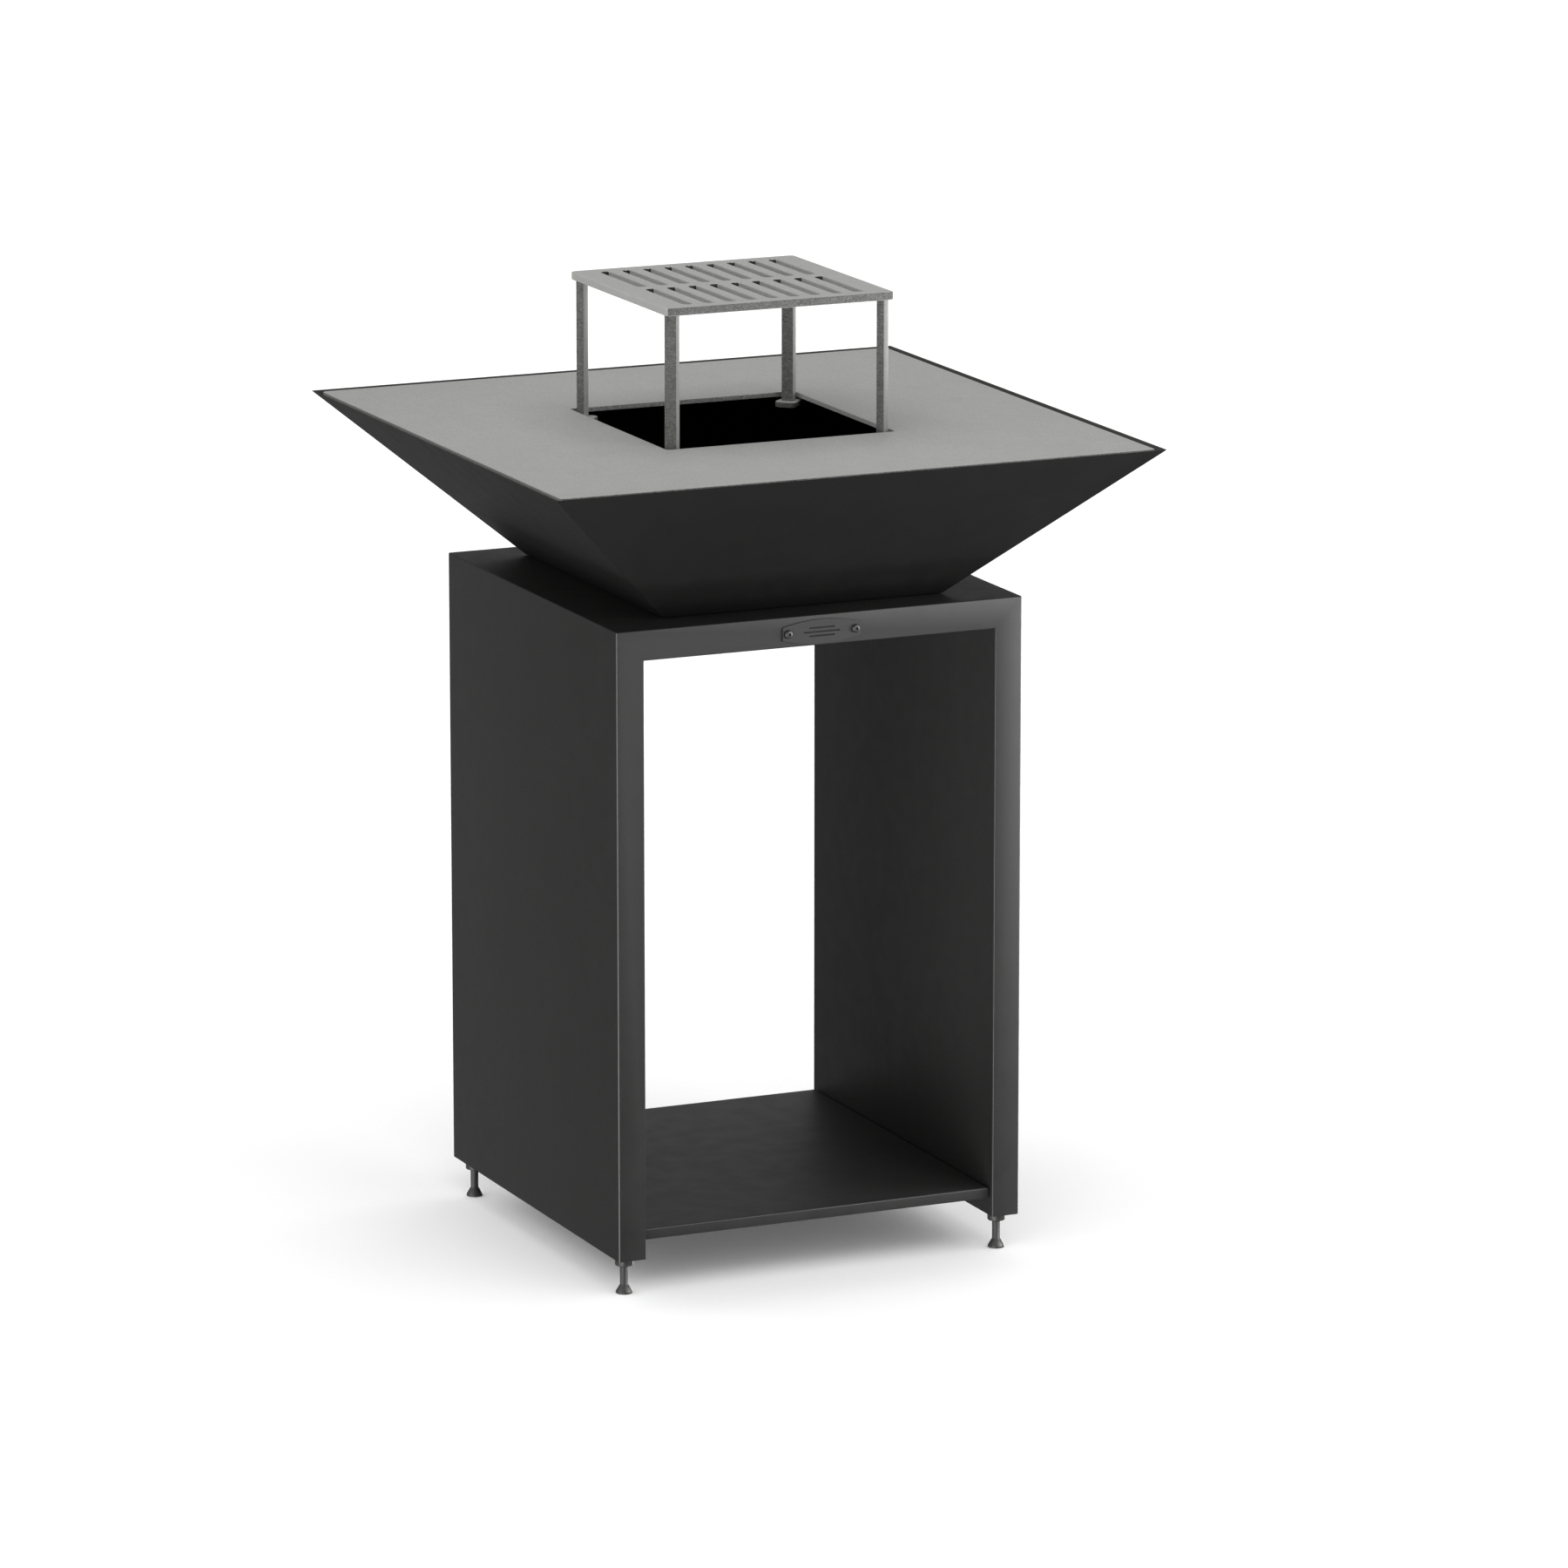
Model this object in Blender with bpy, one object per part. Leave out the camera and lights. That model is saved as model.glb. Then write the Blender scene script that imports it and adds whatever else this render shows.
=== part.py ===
"""Square steel fire pit: a bowl with a lift-off griddle plate and a raised grate, on a box-section stand.

Metres, +Z up. The origin is on the floor under the middle of the object; the front faces -Y.
"""

import math

import bmesh
import bpy
from mathutils import Matrix, Vector

MM = 0.001
GAP = 0.3 * MM  # left between two pieces that touch
CUT = 20 * MM  # how far a cutter runs past the face that it opens

# Stand: two upside-down U sheets, one inside the other, closed below by caps
STAND_SIZE = 539 * MM
STAND_TOP = 830 * MM
PANEL_FOOT = 47 * MM
PANEL_THICKNESS = 36 * MM
RAIL_HEIGHT = 37.5 * MM
SHEET = 2 * MM
STAND_ROUNDING = 2.5 * MM

# Shelf: a tray with lips turned down all round
SHELF_TOP = 83 * MM
SHELF_LIP = 13.5 * MM
SHELF_DEPTH = 522 * MM
SHELF_SIDE_GAP = 1.5 * MM
SHELF_BOLT_Y = 200 * MM

# Fire bowl: four sloping walls on a flat floor plate
RIM_SIZE = 800 * MM
RIM_TOP = 1024 * MM
BOWL_FLOOR_X = 378 * MM
BOWL_FLOOR_Y = 435 * MM
BOWL_FLOOR_THICKNESS = 2.5 * MM
BOWL_SHEET = 2 * MM
BOWL_FLOOR_CORNER = 1.5 * MM
BOWL_BOLT_X = 140 * MM
BOWL_BOLT_Y = 170 * MM

# Griddle: a square plate that sits in the bowl's mouth, with tabs under its opening
GRIDDLE_SIZE = 779.4 * MM
GRIDDLE_TOP = RIM_TOP - 0.3 * MM
GRIDDLE_THICKNESS = 6 * MM
GRIDDLE_CORNER = 6 * MM
OPENING_SIZE = 304 * MM
OPENING_CORNER = 3 * MM
TAB_WIDTH = 28 * MM
TAB_THICKNESS = 7 * MM
TAB_INNER_END = 181 * MM  # measured from the middle of the opening, along its diagonal
TAB_STEP_START = 219 * MM
TAB_OUTER_END = 238 * MM
TAB_STEP = 2.7 * MM
TAB_CORNER = 8 * MM
TAB_TOP = GRIDDLE_TOP - GRIDDLE_THICKNESS - GAP - TAB_STEP

# Grate: a thick slotted plate on four flat bars set across the diagonals
GRATE_SIZE = 303 * MM
GRATE_TOP = RIM_TOP + 172.4 * MM
GRATE_THICKNESS = 10 * MM
GRATE_CORNER = 5 * MM
SLOT_COLUMNS = 9
SLOT_PITCH = 28.3 * MM
SLOT_WIDTH = 11 * MM
SLOT_LENGTH = 120 * MM
SLOT_ROW_OFFSET = 70.4 * MM
SLOT_CORNER = 5 * MM
LEG_WIDTH = 16 * MM
LEG_THICKNESS = 10 * MM
LEG_OFFSET = 140 * MM
LEG_CORNER = 1 * MM

# Badge on the front rail
BADGE_HALF_WIDTH = 52 * MM
BADGE_END_HEIGHT = 16.3 * MM
BADGE_MIDDLE_HEIGHT = 30.4 * MM
BADGE_THICKNESS = 1.5 * MM
BADGE_Z = RIM_TOP - 214.5 * MM
BADGE_SCREW_X = 44.6 * MM

# Levelling feet
FOOT_INSET_Y = 27 * MM
BUSH_RADIUS = 11 * MM
BUSH_HEIGHT = 12.2 * MM
BUSH_SPIGOT_RADIUS = 7.5 * MM
BUSH_SPIGOT_HEIGHT = 17 * MM
STEM_RADIUS = 5 * MM
STEM_CLEARANCE = 0.3 * MM
STEM_TOP = 95 * MM
FOOT_BASE_RADIUS = 10.3 * MM
FOOT_BASE_HEIGHT = 3 * MM
FOOT_CONE_HEIGHT = 10.6 * MM

# Button-head bolts: thread radius, head radius, head height, socket across flats
M6 = dict(shank=3 * MM, head=5.25 * MM, height=3.3 * MM, socket=4 * MM)
M8 = dict(shank=4 * MM, head=7 * MM, height=4.4 * MM, socket=5 * MM)
M6_NUT = dict(flats=10 * MM, height=5 * MM, bore=3.3 * MM)
M8_NUT = dict(flats=13 * MM, height=6.5 * MM, bore=4.3 * MM)
SHELF_BOLT_LENGTH = 14 * MM
BOWL_BOLT_LENGTH = 16 * MM
BADGE_BOLT_LENGTH = 12 * MM
HOLE_CLEARANCE = 0.4 * MM

ROUND_SEGMENTS = 24
BOLT_SEGMENTS = 16
CORNER_SEGMENTS = 4

HALF_STAND = STAND_SIZE / 2
INNER_HALF = HALF_STAND - PANEL_THICKNESS
BAY_TOP = STAND_TOP - RAIL_HEIGHT
SIDES = {"left": -1, "right": 1}
ENDS = {"front": -1, "back": 1}


def clear_scene():
    for obj in list(bpy.data.objects):
        bpy.data.objects.remove(obj, do_unlink=True)


def finish(name, colour, roughness, metallic):
    """A Principled BSDF material with one colour, given as linear red, green, blue."""
    material = bpy.data.materials.new(name)
    material.use_nodes = True
    shader = material.node_tree.nodes["Principled BSDF"]
    shader.inputs["Base Color"].default_value = (*colour, 1)
    shader.inputs["Roughness"].default_value = roughness
    shader.inputs["Metallic"].default_value = metallic
    return material


def mesh_from(name, shape):
    """Closes a bmesh's normals outwards and stores it as a mesh."""
    bmesh.ops.recalc_face_normals(shape, faces=shape.faces)
    mesh = bpy.data.meshes.new(name)
    shape.to_mesh(mesh)
    shape.free()
    return mesh


def place(name, mesh, material, location=(0, 0, 0), rotation=(0, 0, 0)):
    obj = bpy.data.objects.new(name, mesh)
    obj.location = location
    obj.rotation_euler = rotation
    if material is not None and not mesh.materials:
        mesh.materials.append(material)
    bpy.context.scene.collection.objects.link(obj)
    return obj


def shade_round(mesh):
    mesh.shade_smooth()
    mesh.set_sharp_from_angle(angle=math.radians(35))


def add_box(shape, low, high):
    size = Vector(high) - Vector(low)
    middle = (Vector(high) + Vector(low)) / 2
    matrix = Matrix.Translation(middle) @ Matrix.Diagonal((*size, 1))
    return bmesh.ops.create_cube(shape, size=1, matrix=matrix)["verts"]


def add_cylinder(shape, radius, start, end, segments=BOLT_SEGMENTS):
    """A closed cylinder between two points."""
    start, end = Vector(start), Vector(end)
    turn = (end - start).to_track_quat("Z", "Y").to_matrix().to_4x4()
    matrix = Matrix.Translation((start + end) / 2) @ turn
    bmesh.ops.create_cone(
        shape, cap_ends=True, segments=segments, radius1=radius, radius2=radius,
        depth=(end - start).length, matrix=matrix,
    )


def add_prism(shape, outline, bottom, top):
    """Extrudes a closed outline of (x, y) points from z = bottom to z = top."""
    face = shape.faces.new([shape.verts.new((x, y, bottom)) for x, y in outline])
    grown = bmesh.ops.extrude_face_region(shape, geom=[face])["geom"]
    lifted = [item for item in grown if isinstance(item, bmesh.types.BMVert)]
    bmesh.ops.translate(shape, verts=lifted, vec=(0, 0, top - bottom))


def rounded_rectangle(half_x, half_y, radius, middle=(0, 0), segments=CORNER_SEGMENTS):
    """Points anticlockwise round a rectangle, starting at its +X +Y corner."""
    points = []
    for quarter, (sx, sy) in enumerate(((1, 1), (-1, 1), (-1, -1), (1, -1))):
        cx = middle[0] + sx * (half_x - radius)
        cy = middle[1] + sy * (half_y - radius)
        for step in range(segments + 1):
            angle = math.pi / 2 * (quarter + step / segments)
            points.append((cx + radius * math.cos(angle), cy + radius * math.sin(angle)))
    return points


def turned(name, profile, segments=ROUND_SEGMENTS, closed=False):
    """Spins (radius, z) points about Z: a ring if closed, else from the axis and back to it."""
    shape = bmesh.new()
    verts = [shape.verts.new((radius, 0, z)) for radius, z in profile]
    edges = [shape.edges.new(pair) for pair in zip(verts, verts[1:])]
    if closed:
        edges.append(shape.edges.new((verts[-1], verts[0])))
    bmesh.ops.spin(
        shape, geom=verts + edges, cent=(0, 0, 0), axis=(0, 0, 1), angle=math.tau,
        steps=segments, use_duplicate=False,
    )
    bmesh.ops.remove_doubles(shape, verts=shape.verts, dist=0.001 * MM)
    mesh = mesh_from(name, shape)
    shade_round(mesh)
    return mesh


def cut(obj, name, shape):
    """Subtracts a bmesh from an object, through a hidden cutter."""
    cutter = place(name, mesh_from(name, shape), None)
    cutter.hide_render = True
    cutter.display_type = "WIRE"
    modifier = obj.modifiers.new(name, "BOOLEAN")
    modifier.operation = "DIFFERENCE"
    modifier.solver = "EXACT"
    modifier.object = cutter


def baked(obj):
    """The object's evaluated mesh, with the object and its cutters removed."""
    bpy.context.view_layer.update()
    graph = bpy.context.evaluated_depsgraph_get()
    mesh = bpy.data.meshes.new_from_object(obj.evaluated_get(graph))
    mesh.name = obj.name
    for modifier in list(obj.modifiers):
        bpy.data.objects.remove(modifier.object, do_unlink=True)
    bpy.data.objects.remove(obj, do_unlink=True)
    shade_round(mesh)
    return mesh


# ---------------------------------------------------------------- fasteners


def button_bolt_mesh(name, size, length):
    """Button-head bolt along -Z, its head seated on z = 0, with a hexagon socket."""
    head, height, shank = size["head"], size["height"], size["shank"]
    profile = [
        (0, height), (0.55 * head, height), (0.8 * head, 0.78 * height), (0.95 * head, 0.4 * height),
        (head, 0.1 * height), (head, 0), (shank, 0),
        (shank, -length + MM), (shank - MM, -length), (0, -length),
    ]
    bolt = place(name, turned(name, profile, BOLT_SEGMENTS), None)
    socket = bmesh.new()
    corner = size["socket"] / math.sqrt(3)
    hexagon = [(corner * math.cos(math.pi / 3 * k), corner * math.sin(math.pi / 3 * k)) for k in range(6)]
    add_prism(socket, hexagon, 0.3 * height, height + CUT)
    cut(bolt, name + "_socket", socket)
    return baked(bolt)


def nut_mesh(name, size):
    """Hexagon weld nut along -Z, its seat on z = 0."""
    corner = size["flats"] / math.sqrt(3)
    hexagon = [(corner * math.cos(math.pi / 3 * k), corner * math.sin(math.pi / 3 * k)) for k in range(6)]
    body = bmesh.new()
    add_prism(body, hexagon, -size["height"], 0)
    nut = place(name, mesh_from(name, body), None)
    bore = bmesh.new()
    add_cylinder(bore, size["bore"], (0, 0, -size["height"] - CUT), (0, 0, CUT))
    cut(nut, name + "_bore", bore)
    return baked(nut)


def aim(direction):
    """Euler angles that turn +Z to the direction."""
    return Vector(direction).to_track_quat("Z", "Y").to_euler()


# ---------------------------------------------------------------- stand


def shelf_bolt_seats():
    """(name, point on the tray lip's inner face, direction from the wall into the bay)"""
    height = SHELF_TOP - SHEET - M6["head"] - MM
    reach = INNER_HALF - SHELF_SIDE_GAP - SHEET
    return [
        (f"{side}_{end}", Vector((sx * reach, sy * SHELF_BOLT_Y, height)), Vector((-sx, 0, 0)))
        for side, sx in SIDES.items()
        for end, sy in ENDS.items()
    ]


def bowl_bolt_seats():
    top = STAND_TOP + GAP + BOWL_FLOOR_THICKNESS
    return [
        (f"{end}_{side}", Vector((sx * BOWL_BOLT_X, sy * BOWL_BOLT_Y, top)))
        for side, sx in SIDES.items()
        for end, sy in ENDS.items()
    ]


def foot_places():
    return [
        (f"{end}_{side}", sx * (HALF_STAND - PANEL_THICKNESS / 2), sy * (HALF_STAND - FOOT_INSET_Y))
        for side, sx in SIDES.items()
        for end, sy in ENDS.items()
    ]


def make_outer_shell(paint):
    """Top, sides and both portal faces of the stand in one sheet, open below and towards the bay."""
    block = bmesh.new()
    add_box(block, (-HALF_STAND, -HALF_STAND, PANEL_FOOT), (HALF_STAND, HALF_STAND, STAND_TOP))
    outer_edges = [edge for edge in block.edges if max(v.co.z for v in edge.verts) > PANEL_FOOT + MM]
    bmesh.ops.bevel(block, geom=outer_edges, offset=STAND_ROUNDING, segments=2, profile=0.5, affect="EDGES")
    shell = place("stand_outer_shell", mesh_from("stand_outer_shell", block), paint)

    inside = HALF_STAND - SHEET
    void = bmesh.new()
    add_box(void, (-inside, -inside, PANEL_FOOT - CUT), (inside, inside, STAND_TOP - SHEET))
    cut(shell, "shell_void", void)

    portal = bmesh.new()
    past = HALF_STAND + CUT
    add_box(portal, (-INNER_HALF, -past, PANEL_FOOT - 2 * CUT), (INNER_HALF, past, BAY_TOP))
    cut(shell, "shell_portal", portal)

    holes = bmesh.new()
    for _, seat in bowl_bolt_seats():
        top = Vector((seat.x, seat.y, STAND_TOP + CUT))
        add_cylinder(holes, M8["shank"] + HOLE_CLEARANCE, top, top - Vector((0, 0, 2 * CUT)))
    for sx in SIDES.values():
        front = Vector((sx * BADGE_SCREW_X, -past, BADGE_Z))
        add_cylinder(holes, M6["shank"] + HOLE_CLEARANCE, front, front + Vector((0, 2 * CUT, 0)))
    cut(shell, "shell_holes", holes)
    shade_round(shell.data)


def make_inner_liner(paint):
    """Upside-down U sheet that closes the box section towards the bay."""
    depth = HALF_STAND - SHEET - GAP
    wide = INNER_HALF + SHEET
    block = bmesh.new()
    add_box(block, (-wide, -depth, PANEL_FOOT), (wide, depth, BAY_TOP + SHEET))
    liner = place("stand_inner_liner", mesh_from("stand_inner_liner", block), paint)

    bay = bmesh.new()
    add_box(bay, (-INNER_HALF, -depth - CUT, PANEL_FOOT - CUT), (INNER_HALF, depth + CUT, BAY_TOP))
    cut(liner, "liner_bay", bay)

    holes = bmesh.new()
    for _, seat, inward in shelf_bolt_seats():
        add_cylinder(holes, M6["shank"] + HOLE_CLEARANCE, seat + CUT * inward, seat - CUT * inward)
    cut(liner, "liner_holes", holes)


def make_bottom_caps(paint):
    depth = HALF_STAND - SHEET - GAP
    inner = INNER_HALF + SHEET + GAP
    outer = HALF_STAND - SHEET - GAP
    for side, sx in SIDES.items():
        ends = sorted((sx * inner, sx * outer))
        block = bmesh.new()
        add_box(block, (ends[0], -depth, PANEL_FOOT), (ends[1], depth, PANEL_FOOT + SHEET))
        cap = place(f"bottom_cap_{side}", mesh_from(f"bottom_cap_{side}", block), paint)
        holes = bmesh.new()
        for _, x, y in foot_places():
            if x * sx > 0:
                low, high = (x, y, PANEL_FOOT - CUT), (x, y, PANEL_FOOT + CUT)
                add_cylinder(holes, BUSH_SPIGOT_RADIUS + GAP, low, high, ROUND_SEGMENTS)
        cut(cap, f"cap_holes_{side}", holes)


def make_shelf(paint):
    """Tray with its lips turned down on all four sides and its top edges rounded."""
    half_x = INNER_HALF - SHELF_SIDE_GAP
    half_y = SHELF_DEPTH / 2
    bottom = SHELF_TOP - SHELF_LIP
    block = bmesh.new()
    add_box(block, (-half_x, -half_y, bottom), (half_x, half_y, SHELF_TOP))
    top_edges = [edge for edge in block.edges if min(v.co.z for v in edge.verts) > SHELF_TOP - MM]
    bmesh.ops.bevel(block, geom=top_edges, offset=SHEET, segments=3, profile=0.5, affect="EDGES")
    shelf = place("shelf_tray", mesh_from("shelf_tray", block), paint)

    hollow = bmesh.new()
    inside_x, inside_y = half_x - SHEET, half_y - SHEET
    add_box(hollow, (-inside_x, -inside_y, bottom - CUT), (inside_x, inside_y, SHELF_TOP - SHEET))
    cut(shelf, "shelf_hollow", hollow)

    holes = bmesh.new()
    for _, seat, inward in shelf_bolt_seats():
        add_cylinder(holes, M6["shank"] + HOLE_CLEARANCE, seat + CUT * inward, seat - CUT * inward)
    cut(shelf, "shelf_holes", holes)
    shade_round(shelf.data)


def make_shelf_fasteners(zinc):
    bolt = button_bolt_mesh("shelf_bolt", M6, SHELF_BOLT_LENGTH)
    nut = nut_mesh("shelf_nut", M6_NUT)
    behind_wall = SHEET + SHELF_SIDE_GAP + SHEET + GAP
    for name, seat, inward in shelf_bolt_seats():
        place(f"shelf_bolt_{name}", bolt, zinc, seat + GAP * inward, aim(inward))
        place(f"shelf_nut_{name}", nut, zinc, seat - behind_wall * inward, aim(inward))


# ---------------------------------------------------------------- fire bowl


def bowl_half_sizes(z):
    """Half the bowl's outer width along X and along Y at height z."""
    foot = STAND_TOP + BOWL_FLOOR_THICKNESS
    share = (z - foot) / (RIM_TOP - foot)
    half_x = (BOWL_FLOOR_X + (RIM_SIZE - BOWL_FLOOR_X) * share) / 2
    half_y = (BOWL_FLOOR_Y + (RIM_SIZE - BOWL_FLOOR_Y) * share) / 2
    return half_x, half_y


def make_bowl_walls(paint):
    """Four sloping plates, mitred where they meet at the corners, open above and below."""
    bottom = STAND_TOP + BOWL_FLOOR_THICKNESS + 2 * GAP
    slope = math.atan2((RIM_SIZE - BOWL_FLOOR_X) / 2, RIM_TOP - bottom)
    level_thickness = BOWL_SHEET / math.cos(slope)
    seam = GAP / math.sqrt(2)
    walls = {"front": (0, -1), "back": (0, 1), "left": (-1, 0), "right": (1, 0)}
    for name, (out_x, out_y) in walls.items():
        shape = bmesh.new()
        for z in (bottom, RIM_TOP):
            half_x, half_y = bowl_half_sizes(z)
            reach, across = (half_x, half_y) if out_x else (half_y, half_x)
            for inset in (0, level_thickness):
                for end in (-1, 1):
                    along = end * (across - inset - seam)
                    out = reach - inset
                    shape.verts.new((out_x * out + out_y * along, out_y * out + out_x * along, z))
        bmesh.ops.convex_hull(shape, input=shape.verts)
        place(f"bowl_wall_{name}", mesh_from(f"bowl_wall_{name}", shape), paint)


def make_bowl_floor(paint):
    bottom = STAND_TOP + GAP
    shape = bmesh.new()
    outline = rounded_rectangle(BOWL_FLOOR_X / 2, BOWL_FLOOR_Y / 2, BOWL_FLOOR_CORNER)
    add_prism(shape, outline, bottom, bottom + BOWL_FLOOR_THICKNESS)
    floor = place("bowl_floor", mesh_from("bowl_floor", shape), paint)
    holes = bmesh.new()
    rise = Vector((0, 0, CUT))
    for _, seat in bowl_bolt_seats():
        add_cylinder(holes, M8["shank"] + HOLE_CLEARANCE, seat + rise, seat - rise)
    cut(floor, "floor_holes", holes)


def make_bowl_fasteners(zinc):
    bolt = button_bolt_mesh("bowl_bolt", M8, BOWL_BOLT_LENGTH)
    nut = nut_mesh("bowl_nut", M8_NUT)
    for name, seat in bowl_bolt_seats():
        place(f"bowl_bolt_{name}", bolt, zinc, seat + Vector((0, 0, GAP)))
        place(f"bowl_nut_{name}", nut, zinc, (seat.x, seat.y, STAND_TOP - SHEET - GAP))


# ---------------------------------------------------------------- griddle and grate


def diagonals():
    """(name, direction from the middle to the corner, the bar's turn about Z)"""
    return [
        (f"{end}_{side}", Vector((sx, sy, 0)).normalized(), math.atan2(sy, sx))
        for side, sx in SIDES.items()
        for end, sy in ENDS.items()
    ]


def make_griddle_plate(steel):
    half = GRIDDLE_SIZE / 2
    bottom = GRIDDLE_TOP - GRIDDLE_THICKNESS
    shape = bmesh.new()
    add_prism(shape, rounded_rectangle(half, half, GRIDDLE_CORNER), bottom, GRIDDLE_TOP)
    plate = place("griddle_plate", mesh_from("griddle_plate", shape), steel)
    opening = bmesh.new()
    hole = rounded_rectangle(OPENING_SIZE / 2, OPENING_SIZE / 2, OPENING_CORNER)
    add_prism(opening, hole, bottom - CUT, GRIDDLE_TOP + CUT)
    cut(plate, "griddle_opening", opening)


def make_tabs(steel):
    """Flat bars that reach in at the opening's corners, each hung from a raised step under the griddle."""
    half = (TAB_OUTER_END - TAB_INNER_END) / 2
    middle_distance = TAB_INNER_END + half
    blank = bmesh.new()
    add_prism(blank, rounded_rectangle(half, TAB_WIDTH / 2, TAB_CORNER), -TAB_THICKNESS, TAB_STEP)
    tab = place("support_tab", mesh_from("support_tab", blank), None)
    recess = bmesh.new()
    add_box(recess, (-half - CUT, -CUT, 0), (TAB_STEP_START - middle_distance, CUT, CUT))
    cut(tab, "tab_recess", recess)
    mesh = baked(tab)
    for name, outwards, turn in diagonals():
        middle = outwards * middle_distance
        place(f"support_tab_{name}", mesh, steel, (middle.x, middle.y, TAB_TOP), (0, 0, turn))


def make_grate_plate(steel):
    half = GRATE_SIZE / 2
    bottom = GRATE_TOP - GRATE_THICKNESS
    shape = bmesh.new()
    add_prism(shape, rounded_rectangle(half, half, GRATE_CORNER), bottom, GRATE_TOP)
    plate = place("grate_plate", mesh_from("grate_plate", shape), steel)
    slots = bmesh.new()
    for row in (-1, 1):
        for column in range(SLOT_COLUMNS):
            middle = ((column - (SLOT_COLUMNS - 1) / 2) * SLOT_PITCH, row * SLOT_ROW_OFFSET)
            outline = rounded_rectangle(SLOT_WIDTH / 2, SLOT_LENGTH / 2, SLOT_CORNER, middle, 3)
            add_prism(slots, outline, bottom - CUT, GRATE_TOP + CUT)
    cut(plate, "grate_slots", slots)


def make_grate_legs(steel):
    """Flat bars, their wide faces across the diagonals, from the tabs up to the grate plate."""
    bottom = TAB_TOP + GAP
    top = GRATE_TOP - GRATE_THICKNESS - GAP
    shape = bmesh.new()
    outline = rounded_rectangle(LEG_THICKNESS / 2, LEG_WIDTH / 2, LEG_CORNER, segments=2)
    add_prism(shape, outline, 0, top - bottom)
    mesh = mesh_from("grate_leg", shape)
    shade_round(mesh)
    for name, outwards, turn in diagonals():
        middle = outwards * LEG_OFFSET * math.sqrt(2)
        place(f"grate_leg_{name}", mesh, steel, (middle.x, middle.y, bottom), (0, 0, turn))


# ---------------------------------------------------------------- badge


def badge_outline(steps=12):
    """Lens shape: upright ends joined by two shallow arcs."""
    rise = (BADGE_MIDDLE_HEIGHT - BADGE_END_HEIGHT) / 2
    radius = (BADGE_HALF_WIDTH**2 + rise**2) / (2 * rise)
    arc = []
    for step in range(steps + 1):
        x = BADGE_HALF_WIDTH * (1 - 2 * step / steps)
        arc.append((x, BADGE_MIDDLE_HEIGHT / 2 - radius + math.sqrt(radius**2 - x**2)))
    return arc + [(-x, -y) for x, y in arc]


def make_badge(paint, stainless):
    upright = (math.pi / 2, 0, 0)
    face = -HALF_STAND - GAP
    shape = bmesh.new()
    add_prism(shape, badge_outline(), 0, BADGE_THICKNESS)
    badge = place("badge_plate", mesh_from("badge_plate", shape), paint, (0, face, BADGE_Z), upright)
    holes = bmesh.new()
    for sx in SIDES.values():
        start = Vector((sx * BADGE_SCREW_X, face - CUT, BADGE_Z))
        add_cylinder(holes, M6["shank"] + HOLE_CLEARANCE, start, start + Vector((0, 2 * CUT, 0)))
    cut(badge, "badge_holes", holes)

    bolt = button_bolt_mesh("badge_screw", M6, BADGE_BOLT_LENGTH)
    nut = nut_mesh("badge_nut", M6_NUT)
    for side, sx in SIDES.items():
        x = sx * BADGE_SCREW_X
        seat = face - BADGE_THICKNESS - GAP
        place(f"badge_screw_{side}", bolt, stainless, (x, seat, BADGE_Z), aim((0, -1, 0)))
        place(f"badge_nut_{side}", nut, stainless, (x, -HALF_STAND + SHEET + GAP, BADGE_Z), aim((0, -1, 0)))


# ---------------------------------------------------------------- feet


def make_feet(blackened):
    """Threaded bushes under the caps, and the levelling feet that screw into them."""
    bore = STEM_RADIUS + STEM_CLEARANCE
    collar_top = PANEL_FOOT - GAP
    collar_bottom = collar_top - BUSH_HEIGHT
    spigot_top = collar_top + BUSH_SPIGOT_HEIGHT
    edge = 0.8 * MM
    ring = [
        (bore, collar_bottom), (BUSH_RADIUS - edge, collar_bottom), (BUSH_RADIUS, collar_bottom + edge),
        (BUSH_RADIUS, collar_top), (BUSH_SPIGOT_RADIUS, collar_top), (BUSH_SPIGOT_RADIUS, spigot_top),
        (bore, spigot_top),
    ]
    bush = turned("foot_bush", ring, closed=True)
    profile = [
        (0, 0), (FOOT_BASE_RADIUS - edge, 0), (FOOT_BASE_RADIUS, edge), (FOOT_BASE_RADIUS, FOOT_BASE_HEIGHT),
        (STEM_RADIUS + edge, FOOT_CONE_HEIGHT), (STEM_RADIUS, FOOT_CONE_HEIGHT),
        (STEM_RADIUS, STEM_TOP - edge), (STEM_RADIUS - edge, STEM_TOP), (0, STEM_TOP),
    ]
    foot = turned("levelling_foot", profile)
    for name, x, y in foot_places():
        place(f"foot_bush_{name}", bush, blackened, (x, y, 0))
        place(f"levelling_foot_{name}", foot, blackened, (x, y, 0))


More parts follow.
